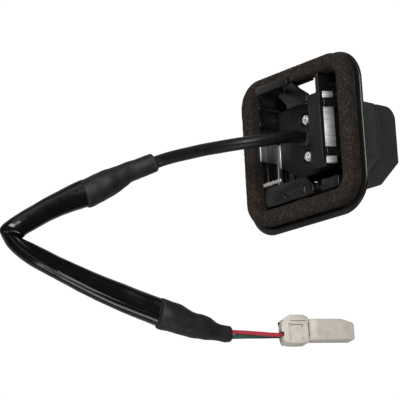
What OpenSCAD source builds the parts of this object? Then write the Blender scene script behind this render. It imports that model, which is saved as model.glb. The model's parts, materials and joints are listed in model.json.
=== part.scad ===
// Backup camera kit: a square bezel with a foam gasket, a camera pod held in
// it by two clips, and a lead that ends in a four-way connector.
// The kit lies on a table. The head leans on one edge of its bezel and on one
// front edge of its camera. Head parts are drawn in head coordinates: x across
// the bezel, y up the bezel, z rearward from the foam's rear face.

/* [Bezel] */
// Outer width of the bezel flange
bezel_w = 57; // [54:0.5:60]
// Outer height of the bezel flange
bezel_h = 56; // [54:0.5:60]
// Radius of the flange's corners
bezel_r = 12; // [9:0.5:14]
// Thickness of the flange's full-width lip
lip_t = 1.0; // [0.8:0.1:1.5]
// Depth of the pocket, from the foam's rear face
pocket_depth = 13; // [12:0.5:15]
// Wall thickness of the pocket
wall = 1.4; // [1.2:0.1:1.8]

/* [Foam gasket] */
// Outer width and height of the foam ring
foam_w = 52; // [50:0.5:53]
// Width of the ring's band
foam_band = 5.2; // [4.5:0.1:6]
// Thickness of the foam
foam_t = 4.5; // [4:0.1:6]

/* [Camera] */
// Width of the camera pod
cam_w = 26.4; // [25:0.2:27]
// Top of the pod above the bezel's centre
cam_top = 13.8; // [13:0.1:15]
// Bottom of the pod below the bezel's centre
cam_bottom = 11.9; // [11:0.1:13]
// Distance of the pod's front face in front of the foam's rear face
cam_front = 37; // [34:0.5:40]
// Length of the front cover
cover_len = 9.3; // [8:0.1:11]
// Diameter of the lens barrel
barrel_d = 14; // [12:0.5:15]

/* [Cable and harness] */
// Diameter of the camera cable
cable_d = 4.3; // [4:0.1:5]
// Diameter of each wire
wire_d = 1.4; // [1.2:0.1:1.6]

/* [Connector] */
// Length of the connector housing
conn_len = 26.8; // [24:0.2:28]
// Width of the housing's mating end
conn_w = 7.6; // [7:0.1:9]
// Height of the housing's mating end
conn_h = 7.2; // [6.6:0.1:8.1]
// Pitch of the wire cavities
pitch = 2.5; // [2.4:0.1:2.6]

/* [Hidden] */
$fn = 48;
eps = 0.01;

// Bezel
bezel_shift = [-0.25, -0.8];
half = bezel_w / 2 - bezel_shift[0];
lip_front = foam_t + lip_t;
step_t = 1.1;
flange_front = lip_front + 2 * step_t;
pocket_half = 18.4;
pocket_top = 21.4;
pocket_bottom = -20.6;
front_wall_t = 1.5;
hole_gap = 0.4;
tab_reach = 6;
tab_low = 17.6;
tab_high = 20.4;
vent_left = -12.2;
shelf_rear = -2;
shelf_t = 1.6;
finger_rows = [9.9, -7.1];

// Foam gasket
foam_r = bezel_r - (bezel_w - foam_w) / 2 - 0.25;
foam_hole = foam_w - 2 * foam_band;

// Camera
cam_half = cam_w / 2;
cam_rear = 6;
rail_rear = 0.2;
rail_w = 5.8;
rail_slope = 2.2;
key_w = 1.5;
seam = cam_front - cover_len;
case_wall = 1.6;
back_wall = 3;
seal_t = 0.6;
chamfer_x = 4.3;
chamfer_y = -6;
brow_r = 4.5;
lens_y = 0.9;
gland_y = 1.7;
screw_pitch = 13;
screw_d = 2;
screw_head_d = 4.2;
screw_head_t = 1.5;
screw_recess = 1.6;
board_w = 20;
board_t = 1.2;
sensor_board_z = -22;
interface_board_z = -14;

// The head leans on its lip edge and on the pod's front edge
tilt = atan2(cam_front - lip_front, half - cam_half);
head_z = half * sin(tilt) + lip_front * cos(tilt);
head_x_min = -foam_w / 2 * cos(tilt);
head_x_max = cam_half * cos(tilt) + cam_front * sin(tilt);
head_x = -(head_x_min + head_x_max) / 2;
head_y = -bezel_shift[1];

// Connector
conn_x0 = -16.6;
conn_y = -60.1;
shoulder_x = conn_x0 + 10.3;
core_w = 6.9;
core_h = 6.2;
core_z = 1;
collar_len = 7;
collar_w = 9.6;
collar_h = 8.2;
slide_gap = 0.25;
cavity = 1.9;
cavity_x = conn_x0 + 7.6;
roof_t = 0.5;
crimp_x = conn_x0 + 9;
wire_z = core_z + core_h / 2;

// Route of the lead, from the gland to the mouth of the connector
route = [
    [-10.2, 2.5, 26.4], [-13.4, 2.3, 27.8], [-17.4, 1.6, 28.9],
    [-21.9, 0.7, 29.3], [-26.4, 0.0, 28.9], [-30.8, -0.4, 27.6],
    [-35.0, -0.6, 25.4], [-39.2, -0.7, 22.4], [-43.2, -0.7, 19.0],
    [-47.3, -0.9, 15.4], [-51.6, -1.2, 11.9], [-55.0, -1.7, 9.2],
    [-58.0, -2.5, 7.6], [-62.7, -4.0, 6.1], [-65.6, -5.0, 5.3],
    [-68.2, -6.2, 5.0], [-70.8, -7.6, 4.8], [-73.2, -8.9, 4.7],
    [-76.1, -10.4, 4.5], [-79.0, -11.8, 4.2], [-81.4, -12.8, 4.0],
    [-88.0, -15.3, 3.6], [-94.2, -18.3, 3.4], [-100.2, -21.6, 3.3],
    [-104.0, -24.2, 3.2], [-106.2, -26.6, 3.2], [-105.1, -29.7, 3.2],
    [-102.6, -32.0, 3.2], [-98.9, -34.2, 3.2], [-92.8, -37.5, 3.2],
    [-85.6, -41.2, 3.2], [-78.9, -44.6, 3.2], [-68.8, -48.9, 3.4],
    [-60.6, -52.3, 3.9], [-57.5, -53.5, 4.1],
    [-55.6, -54.4, 4.6], [-51.9, -55.8, 4.7], [-48.0, -57.3, 4.5],
    [-43.6, -58.5, 4.2], [-41.3, -59.2, 4.0], [-39.0, -60.0, 3.8],
    [-36.2, -60.6, 3.6], [-32.5, -61.2, 3.5],
    [-27.0, -61.4, 3.9], [-21.5, -61.7, 4.4], [-17.0, -61.9, 4.8],
    [-14.3, -61.9, 4.9]
];
cable_end = 12;
shrink_end = 20;
sleeve_end = 34;
lower_shrink_end = 42;
last = len(route) - 1;

// Width and height of the harness at each of its rings
upper_shrink = [
    [6.6, 6.6], [6.7, 6.7], [6.8, 6.8], [7.6, 7.4], [8.5, 8.2], [9.3, 8.8],
    [9.8, 8.6], [9.8, 8.0], [9.4, 7.6]
];
sleeve = [
    [8.8, 6.8], [8.5, 6.4], [8.0, 6.2], [7.6, 6.0], [7.6, 6.0], [7.8, 5.6],
    [6.2, 5.8], [6.6, 6.0], [7.1, 6.0], [7.5, 6.0], [8.2, 6.0], [8.8, 6.0],
    [9.1, 6.4], [9.2, 7.0], [8.8, 7.4]
];
lower_shrink = [
    [9.6, 7.6], [10.1, 8.6], [10.0, 8.8], [8.8, 8.4], [8.6, 7.9], [8.0, 7.4],
    [6.5, 6.5], [5.7, 5.7], [5.2, 5.2]
];

function unit(v) = v / norm(v);
function tangent(p, i) =
    unit(p[min(i + 1, len(p) - 1)] - p[max(i - 1, 0)]);
function side_of(t) = unit(cross([0, 0, 1], t));

// Points of one oval ring, square to the route at point i
function ring(p, i, w, h, n) =
    let (t = tangent(p, i), s = side_of(t), u = cross(t, s))
    [for (k = [0 : n - 1])
        let (a = 360 * (k + 0.5) / n, grow = 1 / cos(180 / n))
        p[i] + s * cos(a) * w / 2 * grow + u * sin(a) * h / 2 * grow];

// Sweeps an oval along points i0 to i1 of a route; sizes holds [w, h] pairs
module sweep(p, i0, i1, sizes, n) {
    rings = [for (i = [i0 : i1]) ring(p, i, sizes[i - i0][0], sizes[i - i0][1], n)];
    m = i1 - i0 + 1;
    points = [for (r = rings) each r];
    walls = [for (j = [0 : m - 2], k = [0 : n - 1])
        [j * n + k, j * n + (k + 1) % n, (j + 1) * n + (k + 1) % n, (j + 1) * n + k]];
    ends = [
        [for (k = [0 : n - 1]) n - 1 - k],
        [for (k = [0 : n - 1]) (m - 1) * n + k]
    ];
    polyhedron(points, concat(walls, ends), convexity = 4);
}

function same(w, h, count) = [for (i = [1 : count]) [w, h]];

module on_head() {
    translate([head_x, head_y, head_z]) rotate([0, -tilt, 0]) children();
}

// A flat plate with round corners, centred in x and y, from z0 to z1
module rounded_plate(w, h, r, z0, z1) {
    translate([0, 0, z0]) linear_extrude(z1 - z0) {
        square([w - 2 * r, h], center = true);
        square([w, h - 2 * r], center = true);
        for (sx = [-1, 1], sy = [-1, 1])
            translate([sx * (w / 2 - r), sy * (h / 2 - r)]) circle(r);
    }
}

// One layer of the bezel's flange, smaller all round by inset
module flange_layer(inset, z0, z1) {
    translate(bezel_shift) rounded_plate(bezel_w - 2 * inset, bezel_h - 2 * inset,
        bezel_r - inset, z0, z1);
}

// A box given by its two corners
module block(a, b) {
    translate(a) cube(b - a);
}

// Outline of the camera pod, seen along the lens axis, shrunk by inset
module pod_outline(inset) {
    cut = inset * 0.35;
    polygon([
        [-cam_half + inset, cam_top - inset],
        [-cam_half + inset, chamfer_y + cut],
        [-chamfer_x - cut, -cam_bottom + inset],
        [chamfer_x + cut, -cam_bottom + inset],
        [cam_half - inset, chamfer_y + cut],
        [cam_half - inset, cam_top - inset]
    ]);
}

module pod_slice(z0, z1, inset) {
    translate([0, 0, z0]) linear_extrude(z1 - z0) pod_outline(inset);
}

// Slot through the top of the pocket that narrows towards the front
module top_vent() {
    low = cam_top + hole_gap;
    high = pocket_top + 3;
    translate([0, high, 0]) rotate([90, 0, 0]) linear_extrude(high - low) polygon([
        [vent_left, -pocket_depth - 2], [0.3, -pocket_depth - 2], [0.3, -pocket_depth],
        [6.2, -flange_front + eps], [vent_left, -flange_front + eps]
    ]);
}

// Snap tab above the pod, its hooked head, and the web that braces it
module snap_tab() {
    block([-11, tab_low, -lip_front - 3], [-6, pocket_top + 1, -lip_front]);
    block([-11, tab_low, -lip_front - 3], [-3.4, tab_high, 4.4]);
    block([-11, tab_low, 4.4], [4.3, tab_high, tab_reach]);
    translate([0, 0, -2]) linear_extrude(1.6) polygon([
        [-7, tab_high], [0.4, tab_high], [2.7, 18], [7, 14.8], [7, 13], [-3, 13],
        [-7, tab_low]
    ]);
}

// Snap shelf below the pod on its ribs, cut by one slot
module snap_shelf() {
    low = pocket_bottom + 0.9;
    difference() {
        block([-17.8, low, shelf_rear - shelf_t], [5.6, -13, shelf_rear]);
        translate([5.6, -13, 0]) rotate([0, 0, 45]) cube([5, 5, 10], center = true);
    }
    block([9.6, low, shelf_rear - shelf_t], [17.6, -15.8, shelf_rear]);
    for (x = [-15, 0.6, 13])
        block([x, low, -pocket_depth], [x + 1.6, -16.4, shelf_rear - shelf_t]);
}

module bezel() {
    color([0.05, 0.05, 0.055]) on_head() {
        difference() {
            union() {
                flange_layer(0, -lip_front, -foam_t);
                flange_layer(0.8, -lip_front - step_t, -lip_front);
                flange_layer(2.5, -flange_front, -lip_front - step_t);
                block([-pocket_half - wall, pocket_bottom - 0.6, -pocket_depth - front_wall_t],
                    [pocket_half + wall, pocket_top + wall, -lip_front - step_t]);
            }
            // Pocket, open to the rear
            block([-pocket_half, pocket_bottom + 1, -pocket_depth],
                [pocket_half, pocket_top, eps]);
            // Opening for the pod
            block([-cam_half - hole_gap, -cam_bottom - hole_gap, -pocket_depth - 2],
                [cam_half + hole_gap, cam_top + hole_gap, -pocket_depth + eps]);
            top_vent();
            // Notch in the flange above the pod
            block([3.9, pocket_top - 1, -flange_front - 1], [5.9, pocket_top + 2, eps]);
        }
        snap_tab();
        snap_shelf();
        // Two fingers that hold the right clip against the pod
        for (y = finger_rows)
            block([cam_half + 0.75, y - 1.45, -pocket_depth], [cam_half + 1.6, y + 1.45, -0.8]);
        // Stiffening ribs in the left of the pocket
        for (y = [9.6, 15.4])
            block([-pocket_half, y, -pocket_depth], [-pocket_half + 1.2, y + 1.4, -1.2]);
    }
}

module foam_gasket() {
    color([0.17, 0.14, 0.13]) on_head() difference() {
        rounded_plate(foam_w, foam_w, foam_r, -foam_t, 0);
        rounded_plate(foam_hole, foam_hole, 4, -foam_t - 1, 1);
    }
}

// Spring strip along the pod's right side, with two feet under the fingers
module clip_right() {
    x0 = cam_half + 0.15;
    color([0.78, 0.78, 0.76]) on_head() {
        block([x0, -11.2, -5.2], [x0 + 0.4, 13.8, -1.3]);
        for (y = finger_rows)
            block([x0, y - 1, -pocket_depth], [x0 + 0.4, y + 1, -5.2]);
    }
}

// Spring nut bent into the corner of the pocket, with a tongue over the shelf
module clip_left() {
    x0 = -pocket_half + 0.1;
    color([0.66, 0.66, 0.64]) on_head() {
        block([x0, -3, -11], [x0 + 0.6, 4, -1.1]);
        block([x0, -4.6, -11], [-14.4, 4, -10.4]);
        block([x0, -12.2, -11], [x0 + 0.6, -3, -9]);
        block([x0, -12.2, -9], [x0 + 0.6, -11, -1.8]);
        block([x0 + 0.6, -12.2, -2.4], [-9.4, -11, -1.8]);
    }
}

module camera_rear_housing() {
    color([0.19, 0.19, 0.18]) on_head() difference() {
        pod_slice(-seam + seal_t, -cam_rear, 0);
        // Inside of the shell
        pod_slice(-seam - 1, -cam_rear - back_wall, case_wall);
        // Gland hole
        translate([0, gland_y, -cam_rear - back_wall - 1]) cylinder(h = back_wall + 2, d = 5.6);
        // Screw holes, each with a recess for the head
        for (s = [-1, 1]) translate([0, gland_y + s * screw_pitch / 2, -cam_rear]) {
            translate([0, 0, -back_wall - 1]) cylinder(h = back_wall + 2, d = screw_d);
            translate([0, 0, -screw_recess]) cylinder(h = screw_recess + 1, d = screw_head_d + 0.6);
        }
    }
}

// Raised rail beside the gland, sloped at its lower end, with a key that stands above it
module mounting_rail() {
    color([0.19, 0.19, 0.18]) on_head() {
        translate([cam_half - 0.2 - rail_w, 0, 0]) rotate([90, 0, 90])
            linear_extrude(rail_w) polygon([
                [cam_top, -cam_rear], [cam_top, -rail_rear],
                [-cam_bottom + rail_slope, -rail_rear], [-cam_bottom, -rail_rear - 1.6],
                [-cam_bottom, -cam_rear]
            ]);
        block([cam_half - 0.2 - key_w, cam_top - 1, -cam_rear],
            [cam_half - 0.2, tab_high, -rail_rear]);
    }
}

module camera_front_cover() {
    color([0.18, 0.18, 0.17]) on_head() difference() {
        intersection() {
            pod_slice(-cam_front, -seam, 0);
            // Rounded brow, seen from the side
            rotate([90, 0, 90]) linear_extrude(40, center = true) {
                translate([-30, -cam_front + brow_r]) square([60, cam_front]);
                translate([-30, -cam_front]) square([30 + cam_top - brow_r, cam_front]);
                translate([cam_top - brow_r, -cam_front + brow_r]) circle(brow_r);
            }
        }
        pod_slice(-cam_front + 2.2, -seam + 1, case_wall);
        translate([0, lens_y, -cam_front - 1]) cylinder(h = 5, d = barrel_d);
    }
}

module housing_seal() {
    color([0.1, 0.1, 0.1]) on_head() difference() {
        pod_slice(-seam, -seam + seal_t, 0.3);
        pod_slice(-seam - 1, -seam + 2, case_wall - 0.2);
    }
}

// Two pan-head screws, each with a cross recess
module case_screws() {
    color([0.8, 0.8, 0.8]) on_head() for (s = [-1, 1])
        translate([0, gland_y + s * screw_pitch / 2, -cam_rear - screw_recess]) {
            translate([0, 0, -3]) cylinder(h = 3, d = screw_d);
            difference() {
                union() {
                    cylinder(h = screw_head_t - 0.5, d = screw_head_d);
                    translate([0, 0, screw_head_t - 0.5])
                        cylinder(h = 0.5, d1 = screw_head_d, d2 = screw_head_d - 1.2);
                }
                for (a = [0, 90]) rotate([0, 0, a])
                    block([-1.1, -0.25, screw_head_t - 0.7], [1.1, 0.25, screw_head_t + 1]);
            }
        }
}

// Rubber gland through the rear wall, round the cable
module cable_gland() {
    color([0.07, 0.07, 0.07]) on_head() translate([0, gland_y, 0]) difference() {
        union() {
            translate([0, 0, -cam_rear - back_wall - 1.4]) cylinder(h = 1.4, d = 7);
            translate([0, 0, -cam_rear - back_wall]) cylinder(h = back_wall, d = 5.6);
            translate([0, 0, -cam_rear]) cylinder(h = 1, d = 6.6);
            translate([0, 0, -cam_rear + 1]) cylinder(h = 1, d1 = 6.6, d2 = 5.6);
        }
        translate([0, 0, -cam_rear - 6]) cylinder(h = 9, d = cable_d - 0.4);
    }
}

// Lens barrel, from its front seat to the skirt that stands on the sensor board
module lens_barrel() {
    board_front = sensor_board_z - board_t;
    color([0.12, 0.12, 0.12]) on_head() translate([0, lens_y, 0]) difference() {
        translate([0, 0, -cam_front - 0.6])
            cylinder(h = board_front + cam_front + 0.6, d = barrel_d);
        translate([0, 0, -cam_front - 1]) cylinder(h = 3, d = barrel_d - 1.6);
        translate([0, 0, -cam_front - 1]) cylinder(h = 20, d = 8);
        translate([0, 0, board_front - 3]) cylinder(h = 4, d = barrel_d - 2);
    }
}

// Outer glass: a disc with a low dome
module lens_window() {
    dome_r = 14;
    sag = 1.2;
    seat_d = barrel_d - 1.8;
    color([0.2, 0.25, 0.3]) on_head() translate([0, lens_y, -cam_front]) {
        translate([0, 0, 0.2]) cylinder(h = 1.7, d = seat_d);
        intersection() {
            translate([0, 0, dome_r - sag]) sphere(dome_r, $fn = 96);
            translate([0, 0, -3]) cylinder(h = 3.2, d = seat_d);
        }
    }
}

module lens_elements() {
    color([0.55, 0.65, 0.7]) on_head() for (z = [2.6, 5.2, 8])
        translate([0, lens_y, -cam_front + z]) cylinder(h = 1.6, d = 7.8);
}

module lens_seal() {
    color([0.08, 0.08, 0.08]) on_head() translate([0, lens_y, -cam_front + 3.3])
        rotate_extrude() translate([barrel_d / 2 + 0.7, 0]) circle(0.6);
}

module lens_retainer_ring() {
    color([0.08, 0.08, 0.085]) on_head() translate([0, lens_y, -cam_front - 0.9])
        difference() {
            cylinder(h = 0.9, d = barrel_d + 3);
            translate([0, 0, -1]) cylinder(h = 3, d = barrel_d + 0.1);
        }
}

module infrared_filter() {
    color([0.6, 0.3, 0.35]) on_head()
        translate([-2.7, lens_y - 2.7, sensor_board_z - board_t - 2.3]) cube([5.4, 5.4, 0.4]);
}

module image_sensor() {
    color([0.25, 0.25, 0.3]) on_head()
        translate([-4, lens_y - 4, sensor_board_z - board_t - 1.3]) cube([8, 8, 1.3]);
}

// A board with its corners cut to clear the pod's chamfers
module board(z) {
    translate([0, 0, z - board_t]) linear_extrude(board_t) polygon([
        [-board_w / 2, 10.5], [-board_w / 2, -4.5], [-4, -9], [4, -9],
        [board_w / 2, -4.5], [board_w / 2, 10.5]
    ]);
}

module sensor_board() {
    color([0.06, 0.3, 0.16]) on_head() board(sensor_board_z);
}

module interface_board() {
    color([0.06, 0.3, 0.16]) on_head() board(interface_board_z);
}

module board_spacers() {
    color([0.72, 0.6, 0.32]) on_head() for (x = [-8, 8], y = [-3, 8.5])
        translate([x, y, sensor_board_z])
            cylinder(h = interface_board_z - board_t - sensor_board_z, d = 2.4);
}

module board_header() {
    color([0.9, 0.88, 0.8]) on_head() difference() {
        block([-4.5, -3.5, interface_board_z], [4.5, 0, interface_board_z + 3.4]);
        for (x = [-3 : 2 : 3])
            block([x - 0.6, -2.6, interface_board_z + 1], [x + 0.6, -1.2, interface_board_z + 5]);
    }
}

module camera_cable() {
    color([0.08, 0.08, 0.085])
        sweep(route, 0, cable_end, same(cable_d, cable_d, cable_end + 1), 10);
}

module heat_shrink_upper() {
    color([0.17, 0.17, 0.17]) sweep(route, cable_end, shrink_end, upper_shrink, 12);
}

module protective_sleeve() {
    color([0.1, 0.1, 0.1]) sweep(route, shrink_end, sleeve_end, sleeve, 12);
}

module heat_shrink_lower() {
    color([0.15, 0.15, 0.15]) sweep(route, sleeve_end, lower_shrink_end, lower_shrink, 12);
}

// One wire: at near in the bundle where it leaves the heat shrink, at far where
// the bundle meets the connector, then in the cavity on side sy and level sz.
// Each is an offset across the route, in y and z.
module wire(near, far, sy, sz) {
    bundle = [for (i = [lower_shrink_end : last])
        let (f = min(1, (i - lower_shrink_end) / (last - lower_shrink_end - 1)),
            off = near * (1 - f) + far * f)
        route[i] + [0, off[0], off[1]]];
    hole = [0, conn_y + sy * pitch / 2, wire_z + sz * pitch / 2];
    path = concat(bundle, [[cavity_x, 0, 0] + hole, [crimp_x, 0, 0] + hole]);
    sweep(path, 0, len(path) - 1, same(wire_d, wire_d, len(path)), 8);
}

module wire_red() { color([0.75, 0.05, 0.07]) wire([1, 0.9], [0, 1.55], -1, 1); }

module wire_green() { color([0.05, 0.3, 0.2]) wire([-0.7, -0.25], [0.35, -0.05], 1, 1); }

module wire_black() { color([0.08, 0.08, 0.08]) wire([-0.3, -1.75], [0.35, -3.25], -1, -1); }

module wire_white() { color([0.85, 0.85, 0.82]) wire([1.3, -0.65], [0.65, -1.65], 1, -1); }

module connector_housing() {
    end_x = conn_x0 + conn_len;
    color([0.88, 0.86, 0.8]) difference() {
        union() {
            // Core inside the retainer
            block([conn_x0, conn_y - core_w / 2, core_z],
                [shoulder_x, conn_y + core_w / 2, core_z + core_h]);
            // Mating end, with one corner cut back
            translate([0, conn_y, 0]) linear_extrude(conn_h) polygon([
                [shoulder_x, -conn_w / 2], [end_x, -conn_w / 2], [end_x, 1],
                [end_x - 5, conn_w / 2], [shoulder_x, conn_w / 2]
            ]);
        }
        for (sy = [-1, 1], sz = [-1, 1])
            translate([0, conn_y + sy * pitch / 2, wire_z + sz * pitch / 2])
                cube([80, cavity, cavity], center = true);
        // Chamber where the wires spread, and the slot by which they enter
        block([conn_x0 + 1.6, conn_y - 2.9, -eps], [cavity_x, conn_y + 2.4, core_z + core_h - roof_t]);
        block([conn_x0 - 1, conn_y - 2.9, -eps], [conn_x0 + 5.2, conn_y + 0.6, core_z + core_h + 1]);
    }
}

// Secondary lock: a collar that slides on the core
module connector_retainer() {
    x0 = shoulder_x - collar_len;
    color([0.9, 0.88, 0.83]) difference() {
        block([x0, conn_y - collar_w / 2, 0],
            [shoulder_x - 0.05, conn_y + collar_w / 2, collar_h]);
        block([x0 - 1, conn_y - core_w / 2 - slide_gap, core_z - slide_gap],
            [shoulder_x + 1, conn_y + core_w / 2 + slide_gap, core_z + core_h + slide_gap]);
    }
}

module connector_terminals() {
    color([0.8, 0.65, 0.3]) for (sy = [-1, 1], sz = [-1, 1])
        translate([crimp_x, conn_y + sy * pitch / 2 - 0.7, wire_z + sz * pitch / 2 - 0.7])
            cube([15, 1.4, 1.4]);
}

bezel();
foam_gasket();
clip_right();
clip_left();
camera_rear_housing();
mounting_rail();
camera_front_cover();
housing_seal();
case_screws();
cable_gland();
lens_barrel();
lens_window();
lens_elements();
lens_seal();
lens_retainer_ring();
infrared_filter();
image_sensor();
sensor_board();
interface_board();
board_spacers();
board_header();
camera_cable();
heat_shrink_upper();
protective_sleeve();
heat_shrink_lower();
wire_red();
wire_green();
wire_black();
wire_white();
connector_housing();
connector_retainer();
connector_terminals();
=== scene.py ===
import bmesh
import bpy
import json
from math import cos, pi, radians, sin
from mathutils import Matrix, Vector, noise


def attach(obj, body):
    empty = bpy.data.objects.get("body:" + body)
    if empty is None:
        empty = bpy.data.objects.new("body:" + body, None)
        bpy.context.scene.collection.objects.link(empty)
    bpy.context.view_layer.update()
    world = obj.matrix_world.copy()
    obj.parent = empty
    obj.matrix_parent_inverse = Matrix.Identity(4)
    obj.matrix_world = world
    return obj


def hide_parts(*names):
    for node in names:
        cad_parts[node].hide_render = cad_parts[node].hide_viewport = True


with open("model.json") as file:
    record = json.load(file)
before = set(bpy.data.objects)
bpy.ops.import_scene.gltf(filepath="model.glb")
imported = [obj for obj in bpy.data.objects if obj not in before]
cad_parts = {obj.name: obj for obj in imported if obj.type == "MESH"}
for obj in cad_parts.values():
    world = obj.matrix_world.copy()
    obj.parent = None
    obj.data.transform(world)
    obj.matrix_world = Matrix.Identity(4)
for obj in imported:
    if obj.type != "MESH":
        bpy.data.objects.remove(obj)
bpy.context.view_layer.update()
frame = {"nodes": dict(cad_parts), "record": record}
MM = 0.001
UP = Vector((0, 0, 1))


# ---------------------------------------------------------------- camera

def make_camera():
    """A long lens, nearly overhead. Its place and angles were fitted to the product picture."""
    data = bpy.data.cameras.new("camera")
    data.lens = 162
    data.sensor_width = 36
    cam = bpy.data.objects.new("camera", data)
    cam.location = (-0.1971, -0.1644, 0.5847)
    cam.rotation_euler = (radians(14.77), radians(-14.30), radians(-2.97))
    bpy.context.collection.objects.link(cam)
    bpy.context.scene.camera = cam


# ---------------------------------------------------------------- places

def mount(name):
    return next(m for m in frame["record"]["mounts"] if m["name"] == name)


# Head coordinates, in millimetres: a across the bezel, b up it, c rearward from the foam's rear face
FOAM_FACE = mount("foam_seal_face")
C_AXIS = Vector(FOAM_FACE["axis"])
A_AXIS = Vector((C_AXIS.z, 0, -C_AXIS.x))
B_AXIS = Vector((0, 1, 0))
FACE_MOUNT_A = 23.4
HEAD_ORIGIN = Vector(FOAM_FACE["pos_m"]) - A_AXIS * FACE_MOUNT_A * MM


def head(a, b, c):
    """The place of a point given in head coordinates."""
    return HEAD_ORIGIN + (A_AXIS * a + B_AXIS * b + C_AXIS * c) * MM


def table_point(x, y, z):
    """The place of a point given in millimetres in the frame's own axes."""
    return Vector((x, y, z)) * MM


# ---------------------------------------------------------------- mesh tools

def smooth_rows(rows, steps):
    """Rows of numbers on a smooth curve through the given rows, steps to each stretch."""
    last = len(rows) - 1
    made = []
    for i in range(last):
        near = [rows[max(0, min(last, i + k))] for k in (-1, 0, 1, 2)]
        for s in range(steps):
            t = s / steps
            made.append([
                0.5 * (2 * q + (r - p) * t + (2 * p - 5 * q + 4 * r - w) * t ** 2
                       + (3 * q - p - 3 * r + w) * t ** 3)
                for p, q, r, w in zip(*near)
            ])
    return made + [list(rows[last])]


def mesh_of(name, points, faces):
    mesh = bpy.data.meshes.new(name)
    mesh.from_pydata([tuple(p) for p in points], [], faces)
    bm = bmesh.new()
    bm.from_mesh(mesh)
    bmesh.ops.recalc_face_normals(bm, faces=bm.faces)
    bm.to_mesh(mesh)
    bm.free()
    return mesh


def loft(name, rings, closed=False):
    """A skin over rings of points. An open row of rings gets a cap at each end."""
    n = len(rings[0])
    count = len(rings)
    faces = []
    for j in range(count if closed else count - 1):
        a, b = j * n, (j + 1) % count * n
        faces += [(a + k, a + (k + 1) % n, b + (k + 1) % n, b + k) for k in range(n)]
    if not closed:
        faces.append(tuple(range(n)))
        faces.append(tuple((count - 1) * n + k for k in range(n)))
    return mesh_of(name, [p for ring in rings for p in ring], faces)


def prism(outline, low, high, place):
    """A solid with that outline, from low to high along the third axis of place."""
    return loft("prism", [[place(x, y, z) for x, y in outline] for z in (low, high)])


def box_mesh(low, high, place):
    outline = [(low[0], low[1]), (high[0], low[1]), (high[0], high[1]), (low[0], high[1])]
    return prism(outline, low[2], high[2], place)


def with_modifier(mesh, kind, settings):
    """The mesh as one modifier leaves it."""
    obj = bpy.data.objects.new("made", mesh)
    bpy.context.collection.objects.link(obj)
    modifier = obj.modifiers.new("made", kind)
    for name, value in settings.items():
        setattr(modifier, name, value)
    shown = obj.evaluated_get(bpy.context.evaluated_depsgraph_get())
    made = bpy.data.meshes.new_from_object(shown)
    bpy.data.objects.remove(obj)
    return made


def combine(first, second, operation):
    """A boolean of two meshes: UNION, DIFFERENCE or INTERSECT."""
    other = bpy.data.objects.new("other", second)
    bpy.context.collection.objects.link(other)
    made = with_modifier(first, "BOOLEAN", {"operation": operation, "solver": "EXACT", "object": other})
    bpy.data.objects.remove(other)
    return made


def tidied(mesh):
    """The mesh with its double points and the edges inside its flat faces taken out."""
    bm = bmesh.new()
    bm.from_mesh(mesh)
    bmesh.ops.remove_doubles(bm, verts=bm.verts, dist=2e-6)
    bmesh.ops.dissolve_degenerate(bm, dist=1e-6, edges=bm.edges)
    bmesh.ops.dissolve_limit(bm, angle_limit=radians(0.8), verts=bm.verts, edges=bm.edges)
    bm.to_mesh(mesh)
    bm.free()
    return mesh


def bevelled(mesh, width, segments=2, angle=32):
    """The mesh with its sharp edges rounded, width in millimetres."""
    return with_modifier(mesh, "BEVEL", {
        "width": width * MM, "segments": segments, "limit_method": "ANGLE",
        "angle_limit": radians(angle), "use_clamp_overlap": False, "miter_outer": "MITER_ARC",
    })


def cad_mesh(*names):
    """One mesh with a tidied copy of those CAD nodes."""
    bm = bmesh.new()
    for name in names:
        bm.from_mesh(frame["nodes"][name].data)
    mesh = bpy.data.meshes.new(names[0])
    bm.to_mesh(mesh)
    bm.free()
    return tidied(mesh)


def piece(name, mesh, material, replaced=(), body="kit", sharp=38):
    """A finished piece of the model."""
    mesh.name = name
    mesh.materials.clear()
    mesh.materials.append(material)
    mesh.shade_smooth()
    mesh.set_sharp_from_angle(angle=radians(sharp))
    obj = bpy.data.objects.new(name, mesh)
    bpy.context.collection.objects.link(obj)
    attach(obj, body)
    if replaced:
        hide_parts(*replaced)
    return obj


# ---------------------------------------------------------------- materials

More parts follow.
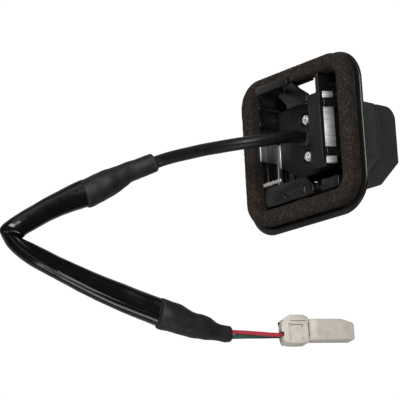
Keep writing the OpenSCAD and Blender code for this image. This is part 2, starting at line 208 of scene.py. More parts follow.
class Shader:
    """A node material whose textures are sized in millimetres."""

    def __init__(self, name, colour=(0.5, 0.5, 0.5), roughness=0.5, **sockets):
        self.material = bpy.data.materials.new(name)
        self.material.use_nodes = True
        self.tree = self.material.node_tree
        self.bsdf = self.tree.nodes["Principled BSDF"]
        self.bsdf.inputs["Base Color"].default_value = (*colour, 1)
        self.bsdf.inputs["Roughness"].default_value = roughness
        for key, value in sockets.items():
            self.bsdf.inputs[key.replace("_", " ")].default_value = value
        self.place = self.node("ShaderNodeTexCoord").outputs["Object"]

    def node(self, kind, **settings):
        made = self.tree.nodes.new(kind)
        for key, value in settings.items():
            setattr(made, key, value)
        return made

    def join(self, source, target):
        self.tree.links.new(source, target)

    def scaled(self, size, stretch):
        mapping = self.node("ShaderNodeMapping")
        mapping.inputs["Scale"].default_value = [s / (size * MM) for s in stretch]
        self.join(self.place, mapping.inputs["Vector"])
        return mapping.outputs["Vector"]

    def noise(self, size, detail=3, stretch=(1, 1, 1)):
        made = self.node("ShaderNodeTexNoise")
        made.inputs["Scale"].default_value = 1
        made.inputs["Detail"].default_value = detail
        made.inputs["Roughness"].default_value = 0.55
        self.join(self.scaled(size, stretch), made.inputs["Vector"])
        return made.outputs["Fac"]

    def cells(self, size, feature="F1"):
        made = self.node("ShaderNodeTexVoronoi", feature=feature)
        made.inputs["Scale"].default_value = 1
        self.join(self.scaled(size, (1, 1, 1)), made.inputs["Vector"])
        return made.outputs["Distance"]

    def ramp(self, source, stops):
        made = self.node("ShaderNodeValToRGB")
        while len(made.color_ramp.elements) < len(stops):
            made.color_ramp.elements.new(0.5)
        for element, (at, colour) in zip(made.color_ramp.elements, stops):
            element.position = at
            element.color = (*colour, 1)
        self.join(source, made.inputs["Fac"])
        return made.outputs["Color"]

    def mix(self, factor, first, second, blend="MIX"):
        made = self.node("ShaderNodeMix", data_type="RGBA", blend_type=blend)
        for value, socket in ((factor, 0), (first, 6), (second, 7)):
            if isinstance(value, (int, float)):
                made.inputs[socket].default_value = value
            else:
                self.join(value, made.inputs[socket])
        return made.outputs[2]

    def along_lens(self, low, high):
        """0 to 1 as the surface goes from low to high along the head's c axis, in millimetres."""
        dot = self.node("ShaderNodeVectorMath", operation="DOT_PRODUCT")
        dot.inputs[1].default_value = C_AXIS / MM
        self.join(self.place, dot.inputs[0])
        start = HEAD_ORIGIN.dot(C_AXIS) / MM
        made = self.node("ShaderNodeMapRange")
        made.inputs["From Min"].default_value = start + low
        made.inputs["From Max"].default_value = start + high
        self.join(dot.outputs["Value"], made.inputs["Value"])
        return made.outputs["Result"]

    def colour(self, source):
        self.join(source, self.bsdf.inputs["Base Color"])

    def tint(self, source, dark, light, low=0.35, high=0.65):
        """Colours the surface from dark to light as the source goes from low to high."""
        self.colour(self.ramp(source, [(low, dark), (high, light)]))

    def gloss(self, source, low, high):
        """Roughness from low to high as the source goes from 0.3 to 0.7."""
        made = self.node("ShaderNodeMapRange")
        for socket, value in (("From Min", 0.3), ("From Max", 0.7), ("To Min", low), ("To Max", high)):
            made.inputs[socket].default_value = value
        self.join(source, made.inputs["Value"])
        self.join(made.outputs["Result"], self.bsdf.inputs["Roughness"])

    def bump(self, *heights):
        """Relief from pairs of a source and its depth in millimetres."""
        normal = None
        for source, depth in heights:
            made = self.node("ShaderNodeBump")
            made.inputs["Distance"].default_value = depth * MM
            self.join(source, made.inputs["Height"])
            if normal:
                self.join(normal, made.inputs["Normal"])
            normal = made.outputs["Normal"]
        self.join(normal, self.bsdf.inputs["Normal"])


def moulded(name, dark, light, rough, grain=0.25, depth=0.012, specular=0.35):
    """Moulded plastic: a faint flow pattern, a fine spark-eroded grain and uneven gloss."""
    s = Shader(name, Specular_IOR_Level=specular)
    s.tint(s.noise(6, 4), dark, light)
    s.gloss(s.noise(3, 5), *rough)
    s.bump((s.noise(grain, 2), depth), (s.noise(4, 2), depth * 2))
    return s.material


def gloss_black():
    s = Shader("gloss_black", Specular_IOR_Level=0.27)
    s.tint(s.noise(9, 4), (0.004, 0.004, 0.0042), (0.0085, 0.008, 0.008))
    s.gloss(s.noise(1.6, 6), 0.22, 0.34)
    s.bump((s.noise(8, 2), 0.01))
    return s.material


def open_foam():
    """Open-cell foam: brown-grey strut mesh with painted shade darkening the pits between, and a few
    painted glints as bright spots.
    """
    s = Shader("open_foam", Specular_IOR_Level=0.2)
    cells = s.cells(0.42)
    # painted shade: the colour goes very dark towards each cell's middle, in the pits
    struts_and_pit_shade = s.ramp(cells, [(0.15, (0.006, 0.0045, 0.004)), (0.5, (0.019, 0.0145, 0.0115)),
                            (0.85, (0.068, 0.053, 0.043))])
    patches = s.ramp(s.noise(3.2, 5), [(0.3, (0.55, 0.5, 0.48)), (0.7, (1.0, 0.94, 0.9))])
    # painted highlights: a few bright glint spots, spread by a noise
    painted_glints = s.ramp(s.cells(0.75), [(0.0, (1, 1, 1)), (0.16, (0, 0, 0))])
    glint_spread = s.ramp(s.noise(1.6, 2), [(0.5, (0, 0, 0)), (0.6, (0.40, 0.36, 0.33))])
    s.colour(s.mix(1.0, s.mix(1.0, struts_and_pit_shade, patches, "MULTIPLY"),
                   s.mix(1.0, painted_glints, glint_spread, "MULTIPLY"), "ADD"))
    s.bsdf.inputs["Roughness"].default_value = 0.9
    s.bump((cells, 0.3), (s.noise(0.25, 3), 0.12))
    return s.material


def bright_metal(name, dark, light, rough, stretch=(1, 1, 1), grain=0.5):
    s = Shader(name, Metallic=1.0)
    streaks = s.noise(grain, 4, stretch)
    s.tint(streaks, dark, light, 0.3, 0.7)
    s.gloss(s.noise(1.1, 4, stretch), *rough)
    s.bump((streaks, 0.008))
    return s.material


def housing_plastic(name, grey_level):
    """The camera case: matte dark grey with faint drawing marks, and painted shade that turns it very dark
    where it sits inside the bezel's pocket.
    """
    s = Shader(name, Specular_IOR_Level=0.25)
    marks = s.noise(0.35, 3, (1, 0.06, 1))
    blend = s.mix(0.5, s.noise(5, 4), marks)
    grey = s.ramp(blend, [(0.4, tuple(grey_level * x for x in (0.0150, 0.0150, 0.0143))),
                          (0.6, tuple(grey_level * x for x in (0.0215, 0.0215, 0.0203)))])
    # painted shade: very dark rearward of c = -12.2, in the pocket, and grey in front of c = -13.4
    pocket_shade = s.ramp(blend, [(0.4, (0.0022, 0.0022, 0.0022)), (0.6, (0.0042, 0.0040, 0.0040))])
    s.colour(s.mix(s.along_lens(-12.2, -13.4), pocket_shade, grey))
    s.gloss(s.noise(2, 5), 0.5, 0.64)
    s.bump((s.noise(0.18, 2), 0.012), (marks, 0.012))
    return s.material


def rail_plastic():
    """The rail's moulding, darker than the case, with drawing marks along it."""
    s = Shader("rail_matte", Specular_IOR_Level=0.3)
    marks = s.noise(0.3, 3, (1, 0.05, 1))
    s.tint(marks, (0.0016, 0.0016, 0.0015), (0.0062, 0.0062, 0.0058), 0.38, 0.62)
    s.gloss(s.noise(2, 5), 0.42, 0.56)
    s.bump((s.noise(0.2, 2), 0.01), (marks, 0.02))
    return s.material


def cable_skin(name, dark, light, rough, ripple=0.02, specular=0.45):
    """Extruded vinyl: a soft sheen, long shallow waves and a little dust."""
    s = Shader(name, Specular_IOR_Level=specular)
    s.tint(s.noise(2.5, 5), dark, light)
    s.gloss(s.noise(1.8, 5), *rough)
    s.bump((s.noise(2.2, 3), ripple), (s.noise(0.2, 2), 0.004))
    return s.material


def shrink_skin():
    """Heat shrink: satin charcoal with a fine orange-peel and shallow wrinkles."""
    s = Shader("heat_shrink", Specular_IOR_Level=0.28)
    s.tint(s.noise(4, 5), (0.0050, 0.0044, 0.0047), (0.0110, 0.0100, 0.0103))
    s.gloss(s.noise(1.5, 5), 0.48, 0.62)
    s.bump((s.noise(0.35, 3), 0.014), (s.noise(3, 3), 0.06))
    return s.material


def sleeve_skin():
    """Glossy vinyl tubing."""
    s = Shader("sleeve_vinyl", Specular_IOR_Level=0.3)
    s.tint(s.noise(5, 5), (0.0010, 0.0008, 0.0009), (0.0030, 0.0021, 0.0025))
    s.gloss(s.noise(3, 4), 0.13, 0.19)
    s.bump((s.noise(6, 2), 0.03), (s.noise(0.3, 2), 0.001))
    return s.material


def ivory(name, dark, light):
    """Undyed nylon, a little translucent."""
    s = Shader(name, Specular_IOR_Level=0.4, Subsurface_Weight=0.12, Subsurface_Scale=0.8 * MM)
    s.bsdf.inputs["Subsurface Radius"].default_value = (1.0, 0.8, 0.6)
    s.tint(s.noise(3.5, 4), dark, light, 0.3, 0.7)
    s.gloss(s.noise(1.5, 4), 0.38, 0.52)
    s.bump((s.noise(0.3, 2), 0.006), (s.noise(2.5, 2), 0.03))
    return s.material


def clear_glass(name, colour, roughness):
    s = Shader(name, colour, roughness, Transmission_Weight=0.85, IOR=1.5)
    s.gloss(s.noise(2, 3), roughness, roughness + 0.04)
    s.tint(s.noise(5, 3), colour, tuple(min(1, x * 1.15) for x in colour))
    return s.material


def circuit_board():
    s = Shader("board_green", Specular_IOR_Level=0.5)
    tracks = s.cells(1.3, "DISTANCE_TO_EDGE")
    s.colour(s.ramp(tracks, [(0.05, (0.03, 0.16, 0.07)), (0.12, (0.012, 0.085, 0.035))]))
    s.gloss(s.noise(1, 3), 0.3, 0.45)
    s.bump((tracks, 0.02))
    return s.material


MATERIALS = {
    "bezel_gloss": gloss_black(),
    "foam": open_foam(),
    "zinc_steel": bright_metal("zinc_steel", (0.60, 0.60, 0.585), (0.80, 0.80, 0.785), (0.30, 0.46),
                               (1, 0.12, 1)),
    "screw_steel": bright_metal("screw_steel", (0.62, 0.61, 0.59), (0.88, 0.87, 0.85), (0.16, 0.3)),
    "housing_matte": housing_plastic("housing_matte", 1.75),
    "seal_rubber": moulded("seal_rubber", (0.006, 0.006, 0.006), (0.012, 0.012, 0.012), (0.5, 0.7)),
    "lens_black": moulded("lens_black", (0.006, 0.006, 0.0065), (0.013, 0.013, 0.014), (0.28, 0.4)),
    "lens_glass": clear_glass("lens_glass", (0.62, 0.70, 0.78), 0.03),
    "filter_glass": clear_glass("filter_glass", (0.55, 0.22, 0.28), 0.05),
    "sensor_chip": moulded("sensor_chip", (0.03, 0.03, 0.045), (0.07, 0.06, 0.09), (0.15, 0.3)),
    "board_green": circuit_board(),
    "brass": bright_metal("brass", (0.52, 0.37, 0.13), (0.76, 0.58, 0.27), (0.24, 0.4)),
    "cable_jacket": cable_skin("cable_jacket", (0.0030, 0.0029, 0.0030), (0.0062, 0.0058, 0.0058),
                               (0.34, 0.44), 0.012, 0.22),
    "heat_shrink": shrink_skin(),
    "sleeve_vinyl": sleeve_skin(),
    "wire_red": cable_skin("wire_red", (0.27, 0.005, 0.017), (0.42, 0.012, 0.030), (0.3, 0.45)),
    "wire_green": cable_skin("wire_green", (0.006, 0.052, 0.029), (0.012, 0.088, 0.048), (0.3, 0.45)),
    "wire_black": cable_skin("wire_black", (0.005, 0.005, 0.006), (0.013, 0.012, 0.012), (0.3, 0.42)),
    "wire_white": cable_skin("wire_white", (0.42, 0.41, 0.38), (0.58, 0.57, 0.54), (0.3, 0.42)),
    "connector_ivory": ivory("connector_ivory", (0.44, 0.40, 0.35), (0.54, 0.50, 0.445)),
    "retainer_white": ivory("retainer_white", (0.48, 0.44, 0.385), (0.60, 0.56, 0.50)),
}


COVER = housing_plastic("cover_matte", 0.95)
RAIL = rail_plastic()
# The right clip has drawn striations and a rougher finish than the left one, and painted shade: a darker
# colour than the left clip's steel that tones down the light its flared lip catches
SHADED_ZINC_STRIP = bright_metal("zinc_strip_shaded", (0.13, 0.13, 0.127), (0.36, 0.36, 0.35), (0.40, 0.56),
                     (0.12, 1.6, 0.12), 0.6)


def made_piece(name, mesh, slot, replaced=(), body="kit", sharp=38):
    return piece(name, mesh, MATERIALS[slot], replaced, body, sharp)


# ---------------------------------------------------------------- cords

# The cable's route, in metres, from the gland into the upper heat shrink
CABLE_ROUTE = [
    (-0.0102, 0.0025, 0.0264), (-0.0134, 0.0023, 0.0278), (-0.0174, 0.0016, 0.0289),
    (-0.0219, 0.0007, 0.0293), (-0.0264, 0.0000, 0.0289), (-0.0308, -0.0004, 0.0276),
    (-0.0350, -0.0006, 0.0254), (-0.0392, -0.0007, 0.0224), (-0.0432, -0.0007, 0.0190),
    (-0.0473, -0.0009, 0.0154), (-0.0516, -0.0012, 0.0119), (-0.0550, -0.0017, 0.0092),
    (-0.0580, -0.0025, 0.0076), (-0.0627, -0.0040, 0.0061),
]
CABLE_D = 4.3


def tube(name, points, diameter, sides=24):
    """A round tube along the points, with a flat up direction."""
    rings = []
    last = len(points) - 1
    for i, p in enumerate(points):
        ahead = (points[min(i + 1, last)] - points[max(i - 1, 0)]).normalized()
        side = UP.cross(ahead).normalized()
        up = ahead.cross(side)
        turns = [2 * pi * k / sides for k in range(sides)]
        rings.append([p + (side * cos(t) + up * sin(t)) * diameter / 2 * MM for t in turns])
    return loft(name, rings)


def make_cable():
    points = [Vector(r) for r in smooth_rows(CABLE_ROUTE, 6)]
    cable = made_piece("camera_cable_jacket", tube("cable", points, CABLE_D, 32), "cable_jacket",
                       ["camera_cable"])


# Stations of the two heat shrinks and of the sleeve, in millimetres: the outer edge's x and y,
# the inner edge's x and y, the height of the middle, and the thickness. The x and y were traced
# from the picture's outline and brought to an assumed height by a program, then partly adjusted.
# The heights and thicknesses were chosen one by one.
UPPER_SHRINK = [
    (-58.6, 0.1, -56.4, -5.0, 8.0, 5.4), (-59.0, 0.4, -56.6, -5.4, 7.9, 6.3),
    (-59.8, 0.5, -57.3, -5.6, 7.6, 6.6), (-64.0, -0.9, -61.6, -7.1, 6.4, 6.7),
    (-67.0, -1.9, -64.8, -8.3, 5.7, 6.8), (-69.4, -2.7, -66.5, -9.6, 5.3, 7.4),
    (-71.8, -3.5, -68.6, -11.3, 4.9, 8.2), (-74.6, -4.5, -71.2, -13.1, 4.7, 8.7),
    (-77.6, -5.8, -73.9, -14.7, 4.5, 8.5), (-80.4, -7.1, -76.6, -16.1, 4.3, 8.1),
    (-82.6, -8.0, -79.2, -17.2, 4.1, 7.8), (-83.3, -8.4, -80.1, -17.2, 4.1, 7.4),
    (-83.5, -8.8, -80.6, -16.8, 4.1, 6.8),
]
LOWER_SHRINK = [
    (-58.9, -57.6, -56.8, -49.2, 4.1, 6.9), (-58.7, -58.3, -56.3, -48.8, 4.1, 7.4),
    (-58.1, -59.1, -55.3, -49.3, 4.5, 8.5), (-54.9, -60.1, -52.6, -50.3, 4.7, 8.9),
    (-52.3, -60.8, -50.2, -51.1, 4.6, 8.8), (-49.8, -61.4, -48.0, -52.3, 4.5, 8.4),
    (-47.1, -62.1, -45.5, -53.6, 4.3, 8.0), (-44.0, -62.7, -42.5, -54.3, 4.2, 7.8),
    (-41.6, -63.0, -40.4, -55.1, 4.0, 7.3), (-39.7, -63.0, -38.9, -56.3, 3.8, 6.5),
    (-37.9, -63.2, -37.2, -57.3, 3.6, 5.8), (-35.1, -63.6, -34.6, -58.0, 3.5, 5.4),
    (-33.0, -63.7, -32.9, -58.3, 3.5, 5.2), (-32.5, -63.2, -32.4, -58.8, 3.5, 4.5),
]
# The sleeve's last number is the height of the crease along its top
SLEEVE = [
    (-82.3, -7.8, -78.9, -16.6, 4.1, 6.6, 0), (-83.8, -8.3, -80.3, -17.1, 4.0, 6.5, 0),
    (-89.8, -11.3, -86.6, -19.1, 3.6, 6.2, 0), (-96.0, -14.7, -92.8, -21.8, 3.4, 6.0, 0),
    (-102.2, -18.4, -98.4, -24.9, 3.3, 5.8, 0), (-106.3, -21.0, -101.2, -26.5, 3.2, 5.6, 0),
    (-109.2, -23.2, -102.4, -27.7, 3.1, 5.2, 0), (-110.4, -24.6, -102.8, -28.1, 2.8, 4.2, 0),
    (-110.5, -25.6, -102.7, -28.3, 2.6, 3.8, 0.1), (-110.1, -26.8, -102.3, -28.6, 2.9, 5.0, 0.5),
    (-109.4, -28.4, -101.2, -29.1, 3.1, 5.5, 0.9), (-107.9, -31.0, -99.2, -30.0, 3.2, 5.7, 1.0),
    (-105.0, -34.0, -97.1, -31.0, 3.2, 5.8, 1.0), (-100.7, -37.2, -93.8, -32.7, 3.2, 5.8, 0.9),
    (-95.7, -40.0, -90.4, -34.4, 3.2, 5.8, 0.8), (-90.7, -42.8, -86.7, -36.2, 3.2, 5.8, 0.6),
    (-80.7, -48.2, -77.0, -40.5, 3.3, 5.9, 0.45), (-70.6, -53.0, -66.9, -44.6, 3.5, 6.2, 0.35),
    (-62.5, -56.5, -59.2, -47.7, 3.9, 6.8, 0.3), (-57.5, -58.6, -54.6, -49.6, 4.1, 7.0, 0.2),
]


def power(x, exponent):
    return (abs(x) ** exponent) * (1 if x > 0 else -1)


def oval(turn, squareness):
    """A point of an oval of half size 1; squareness 1 is an ellipse."""
    return power(cos(turn), 1 / squareness), power(sin(turn), 1 / squareness)


def crease_height(across):
    """Relief over the sleeve's top: one sharp crease near the outer edge and two long soft ridges."""
    crease = max(0.0, 1 - abs(across - 0.36) / 0.22)
    ridge = max(0.0, 1 - abs(across + 0.15) / 0.25) * 0.35
    edge = max(0.0, 1 - abs(across + 0.62) / 0.2) * 0.25
    return crease ** 1.3 + ridge + edge


def band_mesh(name, stations, sides, squareness, lumps):
    """A soft flattened tube through stations, and the line down its middle."""
    rings, middle = [], []
    for row in smooth_rows(stations, 5):
        outer, inner = table_point(*row[0:2], row[4]), table_point(*row[2:4], row[4])
        centre, half = (outer + inner) / 2, (outer - inner) / 2
        ring = []
        for k in range(sides):
            across, up = oval(2 * pi * (k + 0.5) / sides, squareness)
            rise = up * row[5] / 2
            if len(row) > 6 and up > 0:
                rise += row[6] * (crease_height(across) - 0.35)
            p = centre + half * across + UP * rise * MM
            lump = noise.noise(p * 260) * lumps + noise.noise(p * 700) * lumps * 0.35
            out = (half.normalized() * across + UP * up)
            ring.append(p + out * lump * MM)
        rings.append([Vector((p.x, p.y, max(p.z, 0.15 * MM))) for p in ring])
        middle.append(centre)
    return loft(name, rings), middle


def make_harness():
    """The sleeve with its two heat shrinks, and the cable that runs into it."""
    mesh, _ = band_mesh("upper", UPPER_SHRINK, 40, 1.15, 0.22)
    upper = made_piece("upper_shrink_skin", mesh, "heat_shrink", ["heat_shrink_upper"], sharp=60)
    mesh, _ = band_mesh("lower", LOWER_SHRINK, 40, 1.12, 0.26)
    lower = made_piece("lower_shrink_skin", mesh, "heat_shrink", ["heat_shrink_lower"], sharp=60)
    make_cable()
    mesh, middle = band_mesh("sleeve", SLEEVE, 64, 1.18, 0.1)
    sleeve = made_piece("sleeve_skin", mesh, "sleeve_vinyl", ["protective_sleeve"], sharp=50)


# The bundle of wires, in metres, from inside the lower heat shrink to the connector
BUNDLE = [
    (-0.0390, -0.0600, 0.0038), (-0.0362, -0.0606, 0.0036), (-0.0325, -0.0612, 0.0035),
    (-0.0270, -0.0614, 0.0039), (-0.0215, -0.0617, 0.0044), (-0.0170, -0.0619, 0.0048),
    (-0.0143, -0.0619, 0.0049),
]
BUNDLE_START = 2
CAVITY_X, CRIMP_X = -9.0, -7.2
CONNECTOR_Y, CONNECTOR_Z, PITCH = -60.1, 4.1, 2.5
WIRE_D = 1.4
# Each wire's offset in y and z where it leaves the shrink and where it meets the connector,
# and the side and level of its cavity
WIRES = {
    "wire_red": ((0.8, 0.8), (0.0, 1.55), -1, 1),
    "wire_green": ((-0.6, 0.1), (0.35, -0.05), 1, 1),
    "wire_black": ((-0.55, -1.5), (0.35, -3.25), -1, -1),
    "wire_white": ((1.2, -0.8), (0.65, -1.65), 1, -1),
}


def make_wires():
    for name, (near, far, side, level) in WIRES.items():
        stations = []
        for i, p in enumerate(BUNDLE):
            f = max(0.0, min(1.0, (i - BUNDLE_START) / (len(BUNDLE) - 2 - BUNDLE_START)))
            shift = [(n * (1 - f) + w * f) * MM for n, w in zip(near, far)]
            stations.append((p[0], p[1] + shift[0], p[2] + shift[1]))
        y = (CONNECTOR_Y + side * PITCH / 2) * MM
        z = (CONNECTOR_Z + level * PITCH / 2) * MM
        stations += [(CAVITY_X * MM, y, z), (CRIMP_X * MM, y, z)]
        points = [Vector(r) for r in smooth_rows(stations, 6)]
        wire = made_piece(name + "_jacket", tube(name, points, WIRE_D, 16), name, [name])


# ---------------------------------------------------------------- connector

COLLAR_OUTLINE = [(-13.5, -55.9), (-12.7, -55.2), (-7.7, -55.3), (-6.3, -56.2), (-6.3, -64.9),
                  (-10.0, -65.0), (-12.0, -64.9), (-13.5, -64.4)]
LOBE_OUTLINE = [(-13.2, -55.7), (-14.0, -55.9), (-14.8, -56.6), (-15.5, -57.8), (-15.8, -59.2),
                (-15.8, -61.6), (-15.5, -63.0), (-14.9, -64.1), (-14.1, -64.7), (-13.2, -64.8)]
SHELL_OUTLINE = [(-6.5, -63.8), (10.6, -63.8), (10.6, -58.4), (10.1, -57.8), (6.2, -56.5), (-6.5, -56.4)]
SHELL_PROFILE = [(-6.5, 0.1), (10.8, 0.1), (10.8, 7.2), (-3.2, 7.2), (-4.4, 6.4), (-6.5, 6.2)]
TUNNEL = ((-13.6, -63.8, 0.75), (-5, -56.4, 7.45))
WIRE_MOUTH = [((-18, -62.9, 0.9), (-13.2, -60.3, 7.3)), ((-18, -62.7, 4), (-14.9, -61.1, 9))]
COLLAR_GROOVES = [
    ((-13.3, -64.1, 7.6), (-12.5, -58.2, 9)),
    ((-12.5, -59.0, 7.75), (-8.3, -58.5, 9)),
    ((-8.8, -63.9, 7.7), (-8.2, -59.0, 9)),
    ((-12.5, -57.6, 7.8), (-7.2, -57.2, 9)),
]


def make_connector():
    """The housing: its core from the CAD model, inside a rounded mating shell."""
    core = combine(cad_mesh("connector_housing"),
                   box_mesh((-13.4, -70, -2), (-6.4, -50, 12), table_point), "INTERSECT")
    shell = prism(SHELL_OUTLINE, -1, 9, table_point)
    side = prism(SHELL_PROFILE, 50, 70, lambda x, z, y: table_point(x, -y, z))
    shell = bevelled(tidied(combine(shell, side, "INTERSECT")), 0.55, 3)
    shell = combine(shell, box_mesh((-6.9, -64.4, 6.5), (-3.6, -63.45, 7.6), table_point), "DIFFERENCE")
    for sy in (-1, 1):
        for sz in (-1, 1):
            y, z = CONNECTOR_Y + sy * PITCH / 2, CONNECTOR_Z + sz * PITCH / 2
            hole = box_mesh((-8, y - 0.95, z - 0.95), (12, y + 0.95, z + 0.95), table_point)
            shell = combine(shell, hole, "DIFFERENCE")
    return made_piece("connector_shell", combine(shell, core, "UNION"), "connector_ivory",
                      ["connector_housing"])


def lobe_point(x, y, z):
    """Leans the hood's rear end, which reaches further out at the top."""
    front = LOBE_OUTLINE[0][0]
    return table_point(front + (x - front) * (0.52 + 0.06 * z), y, z)


def make_collar():
    """The lock collar with its hood round the wires, its latch window and its grooves."""
    collar = prism(COLLAR_OUTLINE, 0.05, 8.25, table_point)
    lobe = prism(LOBE_OUTLINE, 0.1, 8.05, lobe_point)
    collar = tidied(combine(collar, lobe, "UNION"))
    collar = tidied(combine(collar, box_mesh(*TUNNEL, table_point), "DIFFERENCE"))
    for low, high in WIRE_MOUTH:
        collar = tidied(combine(collar, box_mesh(low, high, table_point), "DIFFERENCE"))
    collar = bevelled(collar, 0.22, 3)
    for low, high in COLLAR_GROOVES:
        collar = combine(collar, box_mesh(low, high, table_point), "DIFFERENCE")
    return made_piece("retainer_collar", collar, "retainer_white", ["connector_retainer"],
                      body="lock_collar")


# ---------------------------------------------------------------- bezel and foam

def square_loop(low, high, radius, spacing):
    """Round a rounded square: points radius inside its outline, each with its outward direction."""
    corners = [(high[0] - radius, high[1] - radius, 0), (low[0] + radius, high[1] - radius, 90),
               (low[0] + radius, low[1] + radius, 180), (high[0] - radius, low[1] + radius, 270)]
    loop = []
    steps = max(4, round(radius * pi / 2 / spacing))
    for i, (x, y, start) in enumerate(corners):
        for k in range(steps + 1):
            turn = radians(start + 90 * k / steps)
            loop.append((x, y, cos(turn), sin(turn)))
        nx, ny, following = corners[(i + 1) % 4]
        turn = radians(start + 90)
        count = max(1, round((Vector((nx, ny)) - Vector((x, y))).length / spacing))
        for k in range(1, count):
            loop.append((x + (nx - x) * k / count, y + (ny - y) * k / count, cos(turn), sin(turn)))
    return loop


def ring_mesh(name, loop, radius, profile, relief=None):
    """A closed ring with that profile of (inset, c) round the loop."""
    rings = []
    for x, y, nx, ny in loop:
        ring = []
        for inset, c in profile:
            reach = radius - inset
            p = head(x + nx * reach, y + ny * reach, c)
            ring.append(relief(p, c) if relief else p)
        rings.append(ring)
    return loft(name, rings, closed=True)


# The flange's outline, and its section as pairs of inset and c
BEZEL_LOW, BEZEL_HIGH, BEZEL_R = (-28.75, -28.8), (28.25, 27.2), 12
FLANGE_PROFILE = [
    (3.6, -4.5), (1.05, -4.5), (0.72, -4.55), (0.42, -4.68), (0.18, -4.88), (0.04, -5.12),
    (0.0, -5.35), (0.1, -5.52), (0.35, -5.62), (0.62, -5.72), (0.76, -5.92), (0.86, -6.2),
    (1.1, -6.55), (1.6, -6.95), (2.3, -7.35), (3.0, -7.6), (3.6, -7.7),
]
CORE_INSET = 3.0
# The front wall's fillets beside the pod's chamfers, and the bevel on the pocket's front corner
FILLET = [(13.65, -12.35), (13.65, -6.05), (4.9, -11.85), (4.2, -12.35)]
CORNER_CUT = [(20.6, -11.6), (16.6, -15.0), (21.0, -15.6)]
FRONT_WALL = (-14.4, -13.1)
# The web's straight end, beside the tab
WEB_END = ((-3, 11.6, -2), (7, 13.4, -0.4))
SHELF_NOTCH = [(-8.5, -16.4), (-5.3, -18.4), (-8.7, -18.2)]
SHELF_DIMPLE = ((1.3, -18.8, -2.3), (3.2, -16.0, -1))


def make_bezel():
    """The CAD bezel inside a domed and stepped flange."""
    loop = square_loop(BEZEL_LOW, BEZEL_HIGH, BEZEL_R, 1.6)
    reach = BEZEL_R - CORE_INSET
    outline = [(x + nx * reach, y + ny * reach) for x, y, nx, ny in loop]
    core = combine(cad_mesh("bezel"), prism(outline, -20, 10, head), "INTERSECT")
    core = combine(core, prism(CORNER_CUT, -30, 30, lambda a, c, b: head(a, b, c)), "DIFFERENCE")
    core = combine(tidied(core), box_mesh(*WEB_END, head), "UNION")
    for side in (-1, 1):
        fillet = prism([(side * a, b) for a, b in FILLET], *FRONT_WALL, head)
        core = combine(core, fillet, "UNION")
    core = combine(core, prism(SHELF_NOTCH, -3.1, -1, head), "DIFFERENCE")
    core = combine(core, box_mesh(*SHELF_DIMPLE, head), "DIFFERENCE")
    core = bevelled(tidied(core), 0.28, 2)
    flange = ring_mesh("flange", square_loop(BEZEL_LOW, BEZEL_HIGH, BEZEL_R, 0.6), BEZEL_R,
                       FLANGE_PROFILE)
    return made_piece("bezel_moulding", combine(core, flange, "UNION"), "bezel_gloss", ["bezel"])


FOAM_HALF, FOAM_R, FOAM_BAND, FOAM_T = 26.0, 9.25, 5.2, 4.5
FOAM_ROUND = 1.5


def foam_profile(step=0.38):
    """The foam band's section: square against the flange, soft at its rear corners."""
    made = []
    for k in range(round(FOAM_BAND / step)):
        made.append((k * step, -FOAM_T))
    for k in range(round((FOAM_T - FOAM_ROUND) / step)):
        made.append((FOAM_BAND, -FOAM_T + k * step))
    for k in range(7):
        turn = pi / 2 * k / 6
        made.append((FOAM_BAND - FOAM_ROUND * (1 - cos(turn)), -FOAM_ROUND * (1 - sin(turn))))
    flat = FOAM_BAND - 2 * FOAM_ROUND
    for k in range(1, round(flat / step)):
        made.append((FOAM_BAND - FOAM_ROUND - k * flat / round(flat / step), 0))
    for k in range(7):
        turn = pi / 2 * k / 6
        made.append((FOAM_ROUND * (1 - sin(turn)), -FOAM_ROUND * (1 - cos(turn))))
    for k in range(1, round((FOAM_T - FOAM_ROUND) / step)):
        made.append((0, -FOAM_ROUND - k * step))
    return made


def foam_relief(p, c):
    """Open cells sunk in the foam's free surfaces, and the slow waver of a hand-cut ring."""
    if c < -FOAM_T + 0.2:
        return p
    cell = noise.voronoi(p / (0.75 * MM))[0][0]
    pit = min(1.0, cell / 0.55)
    sunk = C_AXIS * (0.10 * noise.noise(p / (4 * MM)) - 0.16 * (1 - pit)) * MM
    across = noise.noise_vector(p / (0.5 * MM)) * 0.10 * MM
    return p + sunk + across


def make_foam():
    loop = square_loop((-FOAM_HALF, -FOAM_HALF), (FOAM_HALF, FOAM_HALF), FOAM_R, 0.38)
    mesh = ring_mesh("foam", loop, FOAM_R, foam_profile(), foam_relief)
    foam = made_piece("foam_ring", mesh, "foam", ["foam_gasket"], sharp=80)


# ---------------------------------------------------------------- camera and metal parts

# CAD nodes that are shown as copies with rounded edges: the rounding, and the material slot
ROUNDED = {
    "camera_rear_housing": (0.34, "housing_matte"),
    "case_screws": (0.1, "screw_steel"),
    "clip_left": (0.12, "zinc_steel"),
    "cable_gland": (0.2, "seal_rubber"),
    "lens_retainer_ring": (0.15, "lens_black"),
    "lens_barrel": (0.12, "lens_black"),
}
# CAD nodes whose shape stays as it is
PLAIN = {
    "housing_seal": "seal_rubber", "lens_seal": "seal_rubber", "lens_window": "lens_glass",
    "lens_elements": "lens_glass", "infrared_filter": "filter_glass", "image_sensor": "sensor_chip",
    "sensor_board": "board_green", "interface_board": "board_green", "board_spacers": "brass",
    "board_header": "connector_ivory", "connector_terminals": "brass",
}


# The right clip's flared lip: its section in a and c, and the stretches of b between the fingers
LIP_SECTION = [(13.36, -1.75), (13.36, -1.2), (13.75, -1.05), (15.8, -4.05), (15.5, -4.27), (13.74, -1.65)]
LIP_ROWS = [(-11.2, -8.7), (-5.5, 8.3), (11.5, 13.8)]


def make_right_clip():
    clip = cad_mesh("clip_right")
    for low, high in LIP_ROWS:
        lip = prism(LIP_SECTION, low, high, lambda a, c, b: head(a, b, c))
        clip = combine(clip, lip, "UNION")
    piece("clip_right_moulding", bevelled(tidied(clip), 0.07, 2), SHADED_ZINC_STRIP, ["clip_right"])


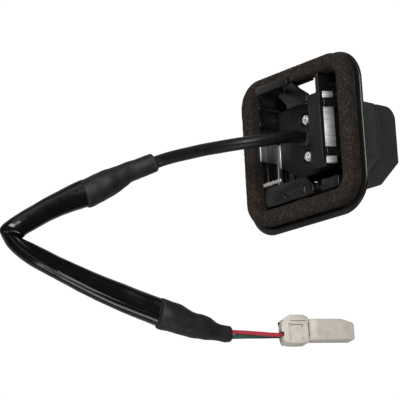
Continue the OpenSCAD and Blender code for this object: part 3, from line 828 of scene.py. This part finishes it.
def make_camera_parts():
    make_right_clip()
    for node, width, material in (("camera_front_cover", 0.42, COVER), ("mounting_rail", 0.3, RAIL)):
        piece(node + "_moulding", bevelled(cad_mesh(node), width, 3), material, [node])
    for node, (width, slot) in ROUNDED.items():
        made_piece(node + "_moulding", bevelled(cad_mesh(node), width, 3), slot, [node])
    for node, slot in PLAIN.items():
        obj = frame["nodes"][node]
        obj.data.materials.clear()
        obj.data.materials.append(MATERIALS[slot])


# ---------------------------------------------------------------- studio

FLOOR_ALBEDO = (0.55, 0.55, 0.55)
WORLD_STRENGTH = 0.12
# Just past white, for what the camera sees of the floor and the backdrop
BURNT_OUT = 1.02
# Softboxes: the name, the direction from the object, the distance and size in metres, and the power
LIGHTS = [
    ("overhead", (-0.37, 0.24, 0.9), 0.9, 0.36, 7.2),
    ("back", (-0.1, 0.75, 0.65), 0.9, 0.60, 1.2),
    ("right", (0.9, 0.24, 0.42), 0.9, 0.45, 0.5),
    ("front", (-0.25, -0.85, 0.45), 0.9, 0.40, 3.2),
]


def seen_and_lit(tree, seen, lit):
    """Mixes two shaders: one for what the camera sees, one for the light the object gets."""
    path = tree.nodes.new("ShaderNodeLightPath")
    mixed = tree.nodes.new("ShaderNodeMixShader")
    tree.links.new(path.outputs["Is Camera Ray"], mixed.inputs["Fac"])
    tree.links.new(lit, mixed.inputs[1])
    tree.links.new(seen, mixed.inputs[2])
    return mixed.outputs["Shader"]


def make_floor():
    """A white sheet, burnt out to white as in the picture, that throws little light back."""
    s = Shader("floor_white", (0.3, 0.3, 0.3), 0.9, Specular_IOR_Level=0.05)
    s.tint(s.noise(400, 2), FLOOR_ALBEDO, FLOOR_ALBEDO)
    glow = s.node("ShaderNodeEmission")
    glow.inputs["Strength"].default_value = BURNT_OUT
    s.join(seen_and_lit(s.tree, glow.outputs["Emission"], s.bsdf.outputs["BSDF"]),
           s.tree.nodes["Material Output"].inputs["Surface"])
    side = 3.0
    corners = [(-side, -side, 0), (side, -side, 0), (side, side, 0), (-side, side, 0)]
    mesh = mesh_of("floor", corners, [(0, 1, 2, 3)])
    mesh.materials.append(s.material)
    floor = bpy.data.objects.new("floor", mesh)
    bpy.context.collection.objects.link(floor)


def make_light(name, towards, distance, size, power_w, aim=(-0.04, -0.02, 0.01)):
    """A square softbox in direction towards from the object, turned to face it."""
    data = bpy.data.lights.new(name, "AREA")
    data.shape = "SQUARE"
    data.size = size
    data.energy = power_w
    light = bpy.data.objects.new(name, data)
    direction = Vector(towards).normalized()
    light.location = Vector(aim) + direction * distance
    light.rotation_euler = direction.to_track_quat("Z", "Y").to_euler()
    bpy.context.collection.objects.link(light)


def make_studio():
    world = bpy.data.worlds.new("studio")
    world.use_nodes = True
    tree = world.node_tree
    background = tree.nodes["Background"]
    background.inputs["Strength"].default_value = WORLD_STRENGTH
    background.inputs["Color"].default_value = (1, 1, 1, 1)
    white = tree.nodes.new("ShaderNodeBackground")
    white.inputs["Strength"].default_value = BURNT_OUT
    white.inputs["Color"].default_value = (1, 1, 1, 1)
    shown = seen_and_lit(tree, white.outputs["Background"], background.outputs["Background"])
    tree.links.new(shown, tree.nodes["World Output"].inputs["Surface"])
    bpy.context.scene.world = world
    bpy.context.scene.view_settings.view_transform = "Standard"
    for light in LIGHTS:
        make_light(*light)


make_camera()
connector = make_connector()
make_harness()
make_wires()
make_collar()
make_bezel()
make_foam()
make_camera_parts()
make_floor()
make_studio()
